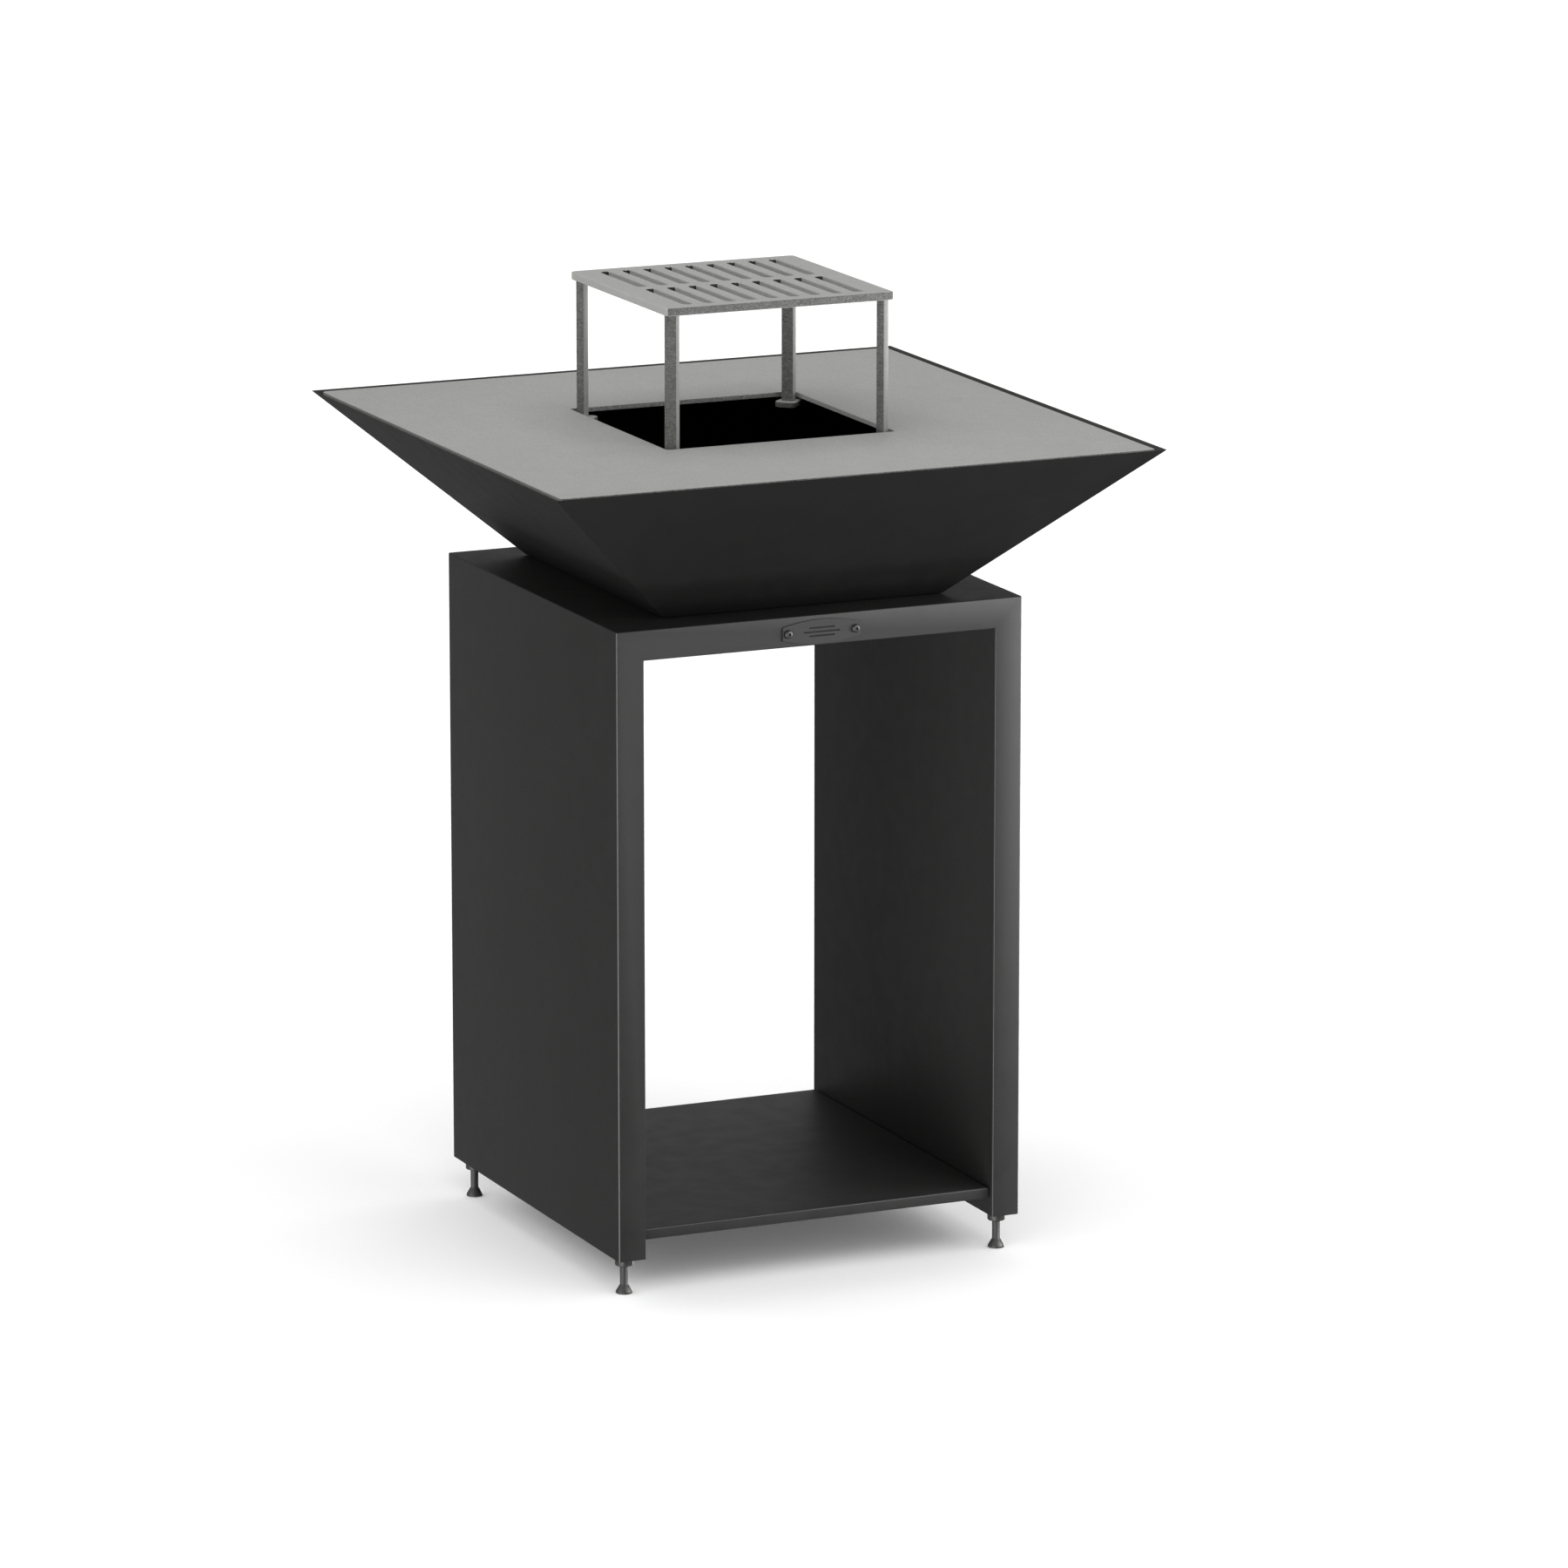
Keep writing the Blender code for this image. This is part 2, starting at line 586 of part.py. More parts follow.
def main():
    clear_scene()
    stand_paint = finish("stand_powder_coat", (0.075, 0.075, 0.072), 0.55, 0.0)
    bowl_paint = finish("bowl_powder_coat", (0.035, 0.035, 0.035), 0.6, 0.0)
    raw_steel = finish("raw_plate_steel", (0.4, 0.4, 0.39), 0.5, 0.6)
    cut_steel = finish("grate_steel", (0.38, 0.38, 0.37), 0.55, 0.6)
    blackened = finish("blackened_steel", (0.06, 0.06, 0.058), 0.45, 0.4)
    zinc = finish("zinc_plated", (0.45, 0.45, 0.44), 0.35, 1.0)
    stainless = finish("stainless", (0.6, 0.6, 0.6), 0.25, 1.0)

    make_outer_shell(stand_paint)
    make_inner_liner(stand_paint)
    make_bottom_caps(stand_paint)
    make_shelf(stand_paint)
    make_shelf_fasteners(zinc)
    make_bowl_walls(bowl_paint)
    make_bowl_floor(bowl_paint)
    make_bowl_fasteners(zinc)
    make_griddle_plate(raw_steel)
    make_tabs(raw_steel)
    make_grate_plate(cut_steel)
    make_grate_legs(cut_steel)
    make_badge(stand_paint, stainless)
    make_feet(blackened)


main()
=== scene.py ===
"""Looks of a square steel fire pit: bowl, griddle, raised grate and box-section stand, in a pale studio."""

import math

import bmesh
import bpy
from mathutils import Matrix, Vector


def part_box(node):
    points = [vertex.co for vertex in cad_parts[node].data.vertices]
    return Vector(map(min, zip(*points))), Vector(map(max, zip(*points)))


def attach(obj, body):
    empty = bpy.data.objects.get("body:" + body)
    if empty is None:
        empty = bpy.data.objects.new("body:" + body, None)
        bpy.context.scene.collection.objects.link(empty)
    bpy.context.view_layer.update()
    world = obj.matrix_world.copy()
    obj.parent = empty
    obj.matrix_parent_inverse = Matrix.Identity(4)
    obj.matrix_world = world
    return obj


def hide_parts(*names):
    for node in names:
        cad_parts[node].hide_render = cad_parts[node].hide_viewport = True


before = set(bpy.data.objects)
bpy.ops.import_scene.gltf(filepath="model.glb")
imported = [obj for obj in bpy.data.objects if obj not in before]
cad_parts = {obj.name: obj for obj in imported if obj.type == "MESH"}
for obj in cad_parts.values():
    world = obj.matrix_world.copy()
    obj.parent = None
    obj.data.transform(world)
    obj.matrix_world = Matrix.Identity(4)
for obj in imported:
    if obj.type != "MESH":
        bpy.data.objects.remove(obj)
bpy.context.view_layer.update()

MM = 0.001
CUT = 20 * MM  # how far a cutter runs past the face that it opens
WELD = 0.005 * MM  # points closer than this are one point
SIDES = {"left": -1, "right": 1}
ENDS = {"front": -1, "back": 1}
CORNERS = [f"{end}_{side}" for side in SIDES for end in ENDS]

# Stand
SHEET = 2 * MM
UPRIGHT_ROUNDING = 2.5 * MM
TOP_ROUNDING = 1.5 * MM
PORTAL_ROUNDING = 1.2 * MM
SHELF_ROUNDING = 2 * MM
SHEET_EDGE = 0.4 * MM
FOLD_EDGE = 0.3 * MM
FINE_EDGE = 0.2 * MM
CAP_HOLE_RADIUS = 8 * MM
ROUNDED_CORNER = 0.25  # a face that points this far both ways across is part of a rounded upright corner

# Plates
PLATE_EDGE = 1.8 * MM
GRIDDLE_EDGE = 1.8 * MM
GRIDDLE_CORNER = 6 * MM
OPENING_SIZE = 304 * MM
OPENING_CORNER = 3 * MM
GRATE_CORNER = 7 * MM
SLOT_COLUMNS = 9
SLOT_PITCH = 28.3 * MM
SLOT_WIDTH = 12.4 * MM
SLOT_LENGTH = 121 * MM
SLOT_ROW_OFFSET = 70.4 * MM
SLOT_CORNER = 5 * MM
TAB_LENGTH = 57 * MM
TAB_WIDTH = 28 * MM
TAB_THICKNESS = 7 * MM
TAB_STEP_LENGTH = 19 * MM
TAB_CORNER = 8 * MM
TAB_EDGE = 1.2 * MM
LEG_WIDTH = 16 * MM
LEG_THICKNESS = 10 * MM

# Bowl
BOWL_CORNER = 1.6 * MM
BOWL_INNER_CORNER = 3 * MM
BOWL_SHEET = 2 * MM
RIM_BEVEL = 1.4 * MM
# The walls stop this far above the deck; the slit shows the floor plate's edge, near-black as painted shade,
# as a dark line at the bowl's foot.
CONTACT_LINE = 0.8 * MM

# Badge and screws
BADGE_END_HEIGHT = 16.3 * MM
BADGE_ARC_STEPS = 32
GROOVE_WIDTH = 1.7 * MM
GROOVE_DEPTH = 0.8 * MM
GROOVE_PITCH = 5 * MM
GROOVE_LENGTHS = (34 * MM, 48 * MM, 34 * MM)
DOME_STEPS = 9
# Head radius, head height, socket across flats and shank radius.
M6_SIZES = (5.25 * MM, 3.3 * MM, 4 * MM, 3 * MM)
M8_SIZES = (7 * MM, 4.4 * MM, 5 * MM, 4 * MM)
M6_HEAD_HEIGHT, M8_HEAD_HEIGHT = M6_SIZES[1], M8_SIZES[1]

# Feet
STEM_RADIUS = 5 * MM
BUSH_BORE_RADIUS = 5.3 * MM
BUSH_SPIGOT_RADIUS = 7.5 * MM
BUSH_LIP = 1.4 * MM
FOOT_CONE_TOP = 10.6 * MM

# Studio
CAMERA_AIM = Vector((0.0591, -0.0264, 0.5635))
CAMERA_DISTANCE = 10.737
CAMERA_AZIMUTH = math.radians(24.089)
CAMERA_ELEVATION = math.radians(12.840)
CAMERA_LENS = 198.18
CAMERA_SENSOR = 36
# Soft boxes, as name, place, width and height in metres, and power. All three aim at the same point.
SOFTBOXES = (
    ("front_box", (1.2, -2.6, 1.35), (1.2, 1.8), 27.5),
    ("right_box", (2.0, -1.2, 0.7), (1.2, 1.2), 41),
    ("top_box", (0, 0, 3.0), (2, 2), 16),
)
SOFTBOX_AIM = (0, 0, 0.8)
# Lights, as azimuth from the front towards +X, elevation (both in degrees) and strength.
TENT = (
    (270, 8, 0.68), (308, -22, 1.7), (204, -13, 0.035), (180, -25, 0.125), (156, 13, 0.125), (0, -90, 0.386),
)
TENT_ANGLE = math.radians(50)
ROOF = ((280, 35, 0.5), (180, 40, 0.2), (0, 90, 0.64))
ROOF_ANGLE = math.radians(100)
BACK_LIGHT = (130, -8, 0.8)
BACK_ANGLE = math.radians(20)
FLOOR_RING = [(azimuth, 30, 0.547) for azimuth in range(0, 360, 30)]
FLOOR_FRONT = (0, 60, 0.817)
FLOOR_ANGLE = math.radians(50)
FLOOR_GLOW = 0.075
FLOOR_RADIUS = 60
FLOOR_COLOUR = (0.9, 0.9, 0.9)
BACKDROP_STRENGTH = 1.05


# ---------------------------------------------------------------- mesh helpers


def as_object(name, shape, *materials):
    """Stores a bmesh, its normals turned outwards, as a smooth-shaded object."""
    bmesh.ops.recalc_face_normals(shape, faces=shape.faces)
    mesh = bpy.data.meshes.new(name)
    shape.to_mesh(mesh)
    shape.free()
    for material in materials:
        mesh.materials.append(material)
    mesh.shade_smooth()
    obj = bpy.data.objects.new(name, mesh)
    bpy.context.scene.collection.objects.link(obj)
    return obj


def add_box(shape, low, high):
    """Adds a box between two opposite corners."""
    size = Vector(high) - Vector(low)
    middle = (Vector(high) + Vector(low)) / 2
    matrix = Matrix.Translation(middle) @ Matrix.Diagonal((*size, 1))
    bmesh.ops.create_cube(shape, size=1, matrix=matrix)


def add_prism(shape, outline, bottom, top):
    """Extrudes a closed outline of (x, y) points from z = bottom to z = top."""
    face = shape.faces.new([shape.verts.new((x, y, bottom)) for x, y in outline])
    grown = bmesh.ops.extrude_face_region(shape, geom=[face])["geom"]
    lifted = [item for item in grown if isinstance(item, bmesh.types.BMVert)]
    bmesh.ops.translate(shape, verts=lifted, vec=(0, 0, top - bottom))


def rounded_rectangle(half_x, half_y, radius, middle=(0, 0), segments=6):
    """Points anticlockwise round a rectangle, starting at its +X +Y corner."""
    points = []
    for quarter, (sx, sy) in enumerate(((1, 1), (-1, 1), (-1, -1), (1, -1))):
        cx = middle[0] + sx * (half_x - radius)
        cy = middle[1] + sy * (half_y - radius)
        for step in range(segments + 1):
            angle = math.pi / 2 * (quarter + step / segments)
            points.append((cx + radius * math.cos(angle), cy + radius * math.sin(angle)))
    return points


def hexagon(corner):
    """Points round a hexagon whose corners lie at the given radius."""
    return [(corner * math.cos(math.pi / 3 * k), corner * math.sin(math.pi / 3 * k)) for k in range(6)]


def turned(name, profile, material, segments=48, closed=False):
    """Spins (radius, z) points about Z: a ring if closed, else from the axis and back to it."""
    shape = bmesh.new()
    verts = [shape.verts.new((radius, 0, z)) for radius, z in profile]
    edges = [shape.edges.new(pair) for pair in zip(verts, verts[1:])]
    if closed:
        edges.append(shape.edges.new((verts[-1], verts[0])))
    bmesh.ops.spin(
        shape, geom=verts + edges, cent=(0, 0, 0), axis=(0, 0, 1), angle=math.tau,
        steps=segments, use_duplicate=False,
    )
    bmesh.ops.remove_doubles(shape, verts=shape.verts, dist=0.2 * WELD)
    obj = as_object(name, shape, material)
    obj.data.set_sharp_from_angle(angle=math.radians(35))
    return obj


def apply_modifiers(obj):
    """Replaces the object's mesh by its evaluated mesh."""
    bpy.context.view_layer.update()
    graph = bpy.context.evaluated_depsgraph_get()
    mesh = bpy.data.meshes.new_from_object(obj.evaluated_get(graph))
    obj.modifiers.clear()
    obj.data = mesh
    mesh.name = obj.name


def weld(obj):
    """Joins the points and removes the sliver faces that a cut leaves behind."""
    shape = bmesh.new()
    shape.from_mesh(obj.data)
    bmesh.ops.remove_doubles(shape, verts=shape.verts, dist=WELD)
    bmesh.ops.dissolve_degenerate(shape, edges=shape.edges, dist=WELD)
    shape.to_mesh(obj.data)
    shape.free()


def carve(obj, shape):
    """Subtracts a bmesh from the object's mesh for good."""
    cutter = as_object("cutter", shape)
    modifier = obj.modifiers.new("carve", "BOOLEAN")
    modifier.operation = "DIFFERENCE"
    modifier.solver = "EXACT"
    modifier.object = cutter
    apply_modifiers(obj)
    bpy.data.objects.remove(cutter, do_unlink=True)
    weld(obj)


def soften(obj, width, segments=3, clamp=True):
    """Rounds every edge that bends by over 30 degrees and keeps the flat faces flat."""
    modifier = obj.modifiers.new("soften", "BEVEL")
    modifier.width = width
    modifier.segments = segments
    modifier.limit_method = "ANGLE"
    modifier.angle_limit = math.radians(30)
    modifier.harden_normals = True
    modifier.use_clamp_overlap = clamp
    apply_modifiers(obj)


def mark_sides(obj, side_index=lambda normal, middle: 1):
    """Gives each upright face the material that side_index(normal, middle) picks."""
    for face in obj.data.polygons:
        upright = abs(face.normal.z) < 0.7
        face.material_index = side_index(face.normal, face.center) if upright else 0


def round_edges(obj, chosen, radius, segments):
    """Rounds the edges that chosen(first point, second point) picks out."""
    shape = bmesh.new()
    shape.from_mesh(obj.data)
    edges = [edge for edge in shape.edges if chosen(edge.verts[0].co, edge.verts[1].co)]
    bmesh.ops.bevel(shape, geom=edges, offset=radius, segments=segments, profile=0.5, affect="EDGES")
    shape.to_mesh(obj.data)
    shape.free()


def settle(obj, body, slot, *nodes):
    """The piece rides on its body and stands for its CAD nodes, which it hides; slot is not used."""
    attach(obj, body)
    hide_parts(*nodes)


def copy_of(obj, name, location, rotation=(0, 0, 0)):
    """A second object that shares the first one's mesh."""
    twin = bpy.data.objects.new(name, obj.data)
    twin.location = location
    twin.rotation_euler = rotation
    bpy.context.scene.collection.objects.link(twin)
    return twin


def middle_of(node):
    """The middle of a CAD node's box at rest."""
    low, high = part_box(node)
    return (low + high) / 2


# ---------------------------------------------------------------- materials


class Nodes:
    """Short calls for building one material's node tree."""

    def __init__(self, name, colour, roughness, metallic):
        self.material = bpy.data.materials.new(name)
        self.material.use_nodes = True
        self.tree = self.material.node_tree
        self.shader = self.tree.nodes["Principled BSDF"]
        self.shader.inputs["Base Color"].default_value = (*colour, 1)
        self.shader.inputs["Roughness"].default_value = roughness
        self.shader.inputs["Metallic"].default_value = metallic
        self.place = self.add("ShaderNodeTexCoord").outputs["Object"]

    def add(self, kind, **settings):
        node = self.tree.nodes.new(kind)
        for key, value in settings.items():
            setattr(node, key, value)
        return node

    def join(self, source, target):
        self.tree.links.new(source, target)

    def noise(self, size, detail=2.0, roughness=0.5, distortion=0.0, stretch=(1, 1, 1)):
        """Noise whose features are about `size` metres across, stretched along the axes."""
        mapping = self.add("ShaderNodeMapping")
        mapping.inputs["Scale"].default_value = tuple(1 / (size * s) for s in stretch)
        self.join(self.place, mapping.inputs["Vector"])
        node = self.add("ShaderNodeTexNoise")
        node.inputs["Scale"].default_value = 1.0
        node.inputs["Detail"].default_value = detail
        node.inputs["Roughness"].default_value = roughness
        node.inputs["Distortion"].default_value = distortion
        self.join(mapping.outputs["Vector"], node.inputs["Vector"])
        return node.outputs["Fac"]

    def spread(self, source, low, high, start=0.3, stop=0.7):
        """Maps a noise value from start..stop to low..high."""
        node = self.add("ShaderNodeMapRange")
        node.inputs["From Min"].default_value = start
        node.inputs["From Max"].default_value = stop
        node.inputs["To Min"].default_value = low
        node.inputs["To Max"].default_value = high
        self.join(source, node.inputs["Value"])
        return node.outputs["Result"]

    def times(self, first, second):
        node = self.add("ShaderNodeMath", operation="MULTIPLY")
        self.join(first, node.inputs[0])
        self.join(second, node.inputs[1])
        return node.outputs["Value"]

    def tint(self, colour, shade):
        """Base colour: the colour scaled by a shade value near 1."""
        node = self.add("ShaderNodeVectorMath", operation="SCALE")
        node.inputs[0].default_value = colour
        self.join(shade, node.inputs["Scale"])
        self.join(node.outputs["Vector"], self.shader.inputs["Base Color"])

    def rough(self, value):
        self.join(value, self.shader.inputs["Roughness"])

    def bump(self, height, distance, strength=1.0, under=None):
        node = self.add("ShaderNodeBump")
        node.inputs["Strength"].default_value = strength
        node.inputs["Distance"].default_value = distance
        self.join(height, node.inputs["Height"])
        if under is not None:
            self.join(under, node.inputs["Normal"])
        return node.outputs["Normal"]

    def surface(self, normal):
        self.join(normal, self.shader.inputs["Normal"])


def powder_coat(name, colour, roughness, index):
    """Matt powder coat: orange peel over a fine grain, with faint clouds in colour and gloss."""
    nodes = Nodes(name, colour, roughness, 0.0)
    nodes.shader.inputs["IOR"].default_value = index
    clouds = nodes.noise(0.12, 3)
    speckle = nodes.noise(0.0012, 1)
    shade = nodes.times(nodes.spread(clouds, 0.95, 1.05), nodes.spread(speckle, 0.93, 1.07))
    nodes.tint(colour, shade)
    nodes.rough(nodes.spread(nodes.noise(0.03, 3), roughness - 0.03, roughness + 0.03))
    peel = nodes.bump(nodes.noise(0.0035, 1), 0.0001, 0.35)
    nodes.surface(nodes.bump(speckle, 0.00005, 0.5, peel))
    return nodes.material


def painted_shade_coat(name, coat, painted_shade, unshaded_height, painted_shade_height):
    """The coat fades to near-black from just under the rim downwards: painted shade inside the bowl."""
    nodes = Nodes(name, coat, 0.6, 0.0)
    height = nodes.add("ShaderNodeSeparateXYZ")
    nodes.join(nodes.place, height.inputs["Vector"])
    share = nodes.spread(height.outputs["Z"], 0.0, 1.0, painted_shade_height, unshaded_height)
    blend = nodes.add("ShaderNodeMix", data_type="RGBA")
    shade_mottle = nodes.spread(nodes.noise(0.006, 4), 0.6, 1.5)
    black = nodes.add("ShaderNodeVectorMath", operation="SCALE")
    black.inputs[0].default_value = painted_shade
    nodes.join(shade_mottle, black.inputs["Scale"])
    nodes.join(share, blend.inputs[0])
    nodes.join(black.outputs["Vector"], blend.inputs[6])
    blend.inputs[7].default_value = (*coat, 1)
    nodes.join(blend.outputs[2], nodes.shader.inputs["Base Color"])
    nodes.rough(nodes.spread(nodes.noise(0.02, 3), 0.7, 0.95))
    nodes.surface(nodes.bump(nodes.noise(0.002, 3), 0.0002, 0.6))
    nodes.shader.inputs["Specular IOR Level"].default_value = 0.15
    return nodes.material


def rolled_steel(name, colour, roughness, metallic):
    """Flat face of hot-rolled plate: fine even grain, faint clouds, faint rolling streaks."""
    nodes = Nodes(name, colour, roughness, metallic)
    grain = nodes.noise(0.0018, 2, 0.6)
    clouds = nodes.noise(0.05, 3)
    streaks = nodes.noise(0.004, 2, stretch=(1, 40, 1))
    shade = nodes.times(nodes.spread(grain, 0.86, 1.14), nodes.spread(clouds, 0.98, 1.02))
    shade = nodes.times(shade, nodes.spread(streaks, 0.985, 1.015))
    nodes.tint(colour, shade)
    nodes.rough(nodes.spread(nodes.noise(0.015, 3), roughness - 0.05, roughness + 0.05))
    nodes.surface(nodes.bump(grain, 0.00015, 0.5))
    return nodes.material


def cut_steel(name, colour, roughness, metallic, depth):
    """Edges and bars: a wrinkled, pitted skin that mottles in raking light."""
    nodes = Nodes(name, colour, roughness, metallic)
    wrinkles = nodes.noise(0.0034, 1.5, 0.5, 1.8, stretch=(1.3, 1.3, 0.8))
    pits = nodes.noise(0.0012, 2, 0.6)
    shade = nodes.times(nodes.spread(wrinkles, 0.56, 1.36), nodes.spread(pits, 0.93, 1.07))
    nodes.tint(colour, shade)
    nodes.rough(nodes.spread(pits, roughness - 0.06, roughness + 0.06))
    coarse = nodes.bump(wrinkles, depth, 0.9)
    nodes.surface(nodes.bump(pits, depth * 0.12, 0.6, coarse))
    return nodes.material


def fine_metal(name, colour, roughness, metallic):
    """Machined or plated small hardware: faint turning marks and uneven gloss."""
    nodes = Nodes(name, colour, roughness, metallic)
    marks = nodes.noise(0.0005, 2, stretch=(6, 6, 1))
    nodes.tint(colour, nodes.spread(nodes.noise(0.004, 3), 0.9, 1.1))
    nodes.rough(nodes.spread(marks, roughness - 0.06, roughness + 0.06))
    nodes.surface(nodes.bump(marks, 0.00003, 0.5))
    return nodes.material


# ---------------------------------------------------------------- stand


def make_shell(coat, painted_highlight_coat):
    """The folded outer casing: rounded corners, the upright ones with a painted highlight, a portal through
    it, open below.
    """
    low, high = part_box("stand_outer_shell")
    liner_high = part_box("stand_inner_liner")[1]
    inner, bay_top = liner_high.x - SHEET, liner_high.z - SHEET
    block = bmesh.new()
    add_box(block, low, high)
    shell = as_object("stand_shell_skin", block, coat, painted_highlight_coat)
    round_edges(shell, lambda a, b: abs(a.z - b.z) > CUT, UPRIGHT_ROUNDING, 5)
    round_edges(shell, lambda a, b: min(a.z, b.z) > high.z - MM, TOP_ROUNDING, 4)

    void = bmesh.new()
    inside = high.x - SHEET
    add_box(void, (-inside, -inside, low.z - CUT), (inside, inside, high.z - SHEET))
    carve(shell, void)
    portal = bmesh.new()
    past = high.y + CUT
    add_box(portal, (-inner, -past, low.z - 2 * CUT), (inner, past, bay_top))
    carve(shell, portal)

    def on_portal(a, b):
        faces_out = min(abs(a.y), abs(b.y)) > high.y - MM / 2
        upright = abs(abs(a.x) - inner) < MM / 2 and abs(a.x - b.x) < MM / 2
        level = abs(a.z - bay_top) < MM / 2 and abs(b.z - bay_top) < MM / 2
        return faces_out and (upright or level)

    round_edges(shell, on_portal, PORTAL_ROUNDING, 4)
    # Faces of the rounded upright corners get the lighter coat: a painted highlight along them.
    for face in shell.data.polygons:
        across = min(abs(face.normal.x), abs(face.normal.y))
        face.material_index = 1 if across > ROUNDED_CORNER else 0
    soften(shell, FINE_EDGE, 2)
    settle(shell, "stand", "stand_coat", "stand_outer_shell")


def make_liner(coat):
    """The inner upside-down U, its folds slightly rounded."""
    low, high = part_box("stand_inner_liner")
    inner, bay_top = high.x - SHEET, high.z - SHEET
    outline = [
        (low.x, low.z), (-inner, low.z), (-inner, bay_top), (inner, bay_top),
        (inner, low.z), (high.x, low.z), (high.x, high.z), (low.x, high.z),
    ]
    shape = bmesh.new()
    add_prism(shape, outline, low.y, high.y)
    bmesh.ops.transform(shape, matrix=Matrix(((1, 0, 0), (0, 0, 1), (0, 1, 0))).to_4x4(), verts=shape.verts)
    liner = as_object("stand_liner_skin", shape, coat)
    soften(liner, SHEET_EDGE)
    settle(liner, "stand", "stand_coat", "stand_inner_liner")


def make_caps(coat):
    """The two plates that close the feet of the side panels, bored for the bushes."""
    for side in SIDES:
        low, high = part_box(f"bottom_cap_{side}")
        shape = bmesh.new()
        add_box(shape, low, high)
        cap = as_object(f"bottom_cap_skin_{side}", shape, coat)
        holes = bmesh.new()
        for end in ENDS:
            spot = middle_of(f"foot_bush_{end}_{side}")
            matrix = Matrix.Translation((spot.x, spot.y, low.z))
            bmesh.ops.create_cone(
                holes, cap_ends=True, segments=48, radius1=CAP_HOLE_RADIUS, radius2=CAP_HOLE_RADIUS, depth=CUT,
                matrix=matrix,
            )
        carve(cap, holes)
        soften(cap, SHEET_EDGE)
        settle(cap, "stand", "stand_coat", f"bottom_cap_{side}")


def make_shelf(coat):
    """Tray with lips turned down: rounded folds above, open below."""
    low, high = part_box("shelf_tray")
    block = bmesh.new()
    add_box(block, low, high)
    shelf = as_object("shelf_skin", block, coat)
    round_edges(shelf, lambda a, b: min(a.z, b.z) > high.z - MM, SHELF_ROUNDING, 5)
    hollow = bmesh.new()
    add_box(
        hollow, (low.x + SHEET, low.y + SHEET, low.z - CUT), (high.x - SHEET, high.y - SHEET, high.z - SHEET),
    )
    carve(shelf, hollow)
    soften(shelf, FOLD_EDGE, 2)
    settle(shelf, "stand", "stand_coat", "shelf_tray")


# ---------------------------------------------------------------- bowl


def make_bowl(coat, painted_shade):
    """Four sloping walls welded into one skin, around a flat floor plate: coated outside, painted shade
    inside.
    """
    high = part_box("bowl_wall_right")[1]
    high.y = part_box("bowl_wall_back")[1].y
    floor_low, floor_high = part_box("bowl_floor")
    rise = high.z - floor_high.z
    slope = math.atan2(high.x - floor_high.x, rise)
    level_thickness = BOWL_SHEET / math.cos(slope)
    shape = bmesh.new()

    def loop(z, inset, radius):
        share = (z - floor_high.z) / rise
        half_x = floor_high.x + (high.x - floor_high.x) * share - inset
        half_y = floor_high.y + (high.y - floor_high.y) * share - inset
        return [shape.verts.new((x, y, z)) for x, y in rounded_rectangle(half_x, half_y, radius)]

    foot, lip = floor_low.z + CONTACT_LINE, high.z - RIM_BEVEL
    loops = [
        loop(high.z, 0, BOWL_CORNER), loop(foot, 0, BOWL_CORNER),
        loop(foot, level_thickness, BOWL_INNER_CORNER), loop(lip, level_thickness, BOWL_INNER_CORNER),
    ]
    count = len(loops[0])
    # The inner faces take the painted shade.
    for index, (ring, following) in enumerate(zip(loops, loops[1:] + loops[:1])):
        for k in range(count):
            quad = (ring[k], ring[(k + 1) % count], following[(k + 1) % count], following[k])
            shape.faces.new(quad).material_index = 1 if index > 1 else 0
    walls = as_object("bowl_skin", shape, coat, painted_shade)
    soften(walls, FOLD_EDGE)
    settle(walls, "stand", "bowl_coat", *[f"bowl_wall_{name}" for name in (*ENDS, *SIDES)])

    plate = bmesh.new()
    inset = level_thickness + floor_high.z - floor_low.z
    outline = rounded_rectangle(floor_high.x - inset, floor_high.y - inset, BOWL_CORNER)
    add_prism(plate, outline, floor_low.z, floor_high.z)
    # The floor plate is painted shade throughout; its edge at the bowl's foot is a painted shadow line.
    floor = as_object("bowl_floor_skin", plate, painted_shade)
    soften(floor, SHEET_EDGE)
    settle(floor, "stand", "bowl_coat", "bowl_floor")


# ---------------------------------------------------------------- griddle and grate


def make_griddle(face, lit_side_edge, shaded_cross_edge):
    """Square plate with a square opening; its edge faces towards ±X take a lit copy of the steel and those
    towards ±Y a darker, shaded copy: painted light and shade.
    """
    low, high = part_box("griddle_plate")
    shape = bmesh.new()
    add_prism(shape, rounded_rectangle(high.x, high.y, GRIDDLE_CORNER), low.z, high.z)
    plate = as_object("griddle_skin", shape, face, lit_side_edge, shaded_cross_edge)
    opening = bmesh.new()
    hole = rounded_rectangle(OPENING_SIZE / 2, OPENING_SIZE / 2, OPENING_CORNER)
    add_prism(opening, hole, low.z - CUT, high.z + CUT)
    carve(plate, opening)
    # Painted light and shade: faces towards ±X get the lit copy, faces towards ±Y the shaded copy.
    mark_sides(plate, lambda normal, middle: 1 if abs(normal.x) > abs(normal.y) else 2)
    soften(plate, GRIDDLE_EDGE)
    settle(plate, "griddle", "griddle_steel", "griddle_plate")


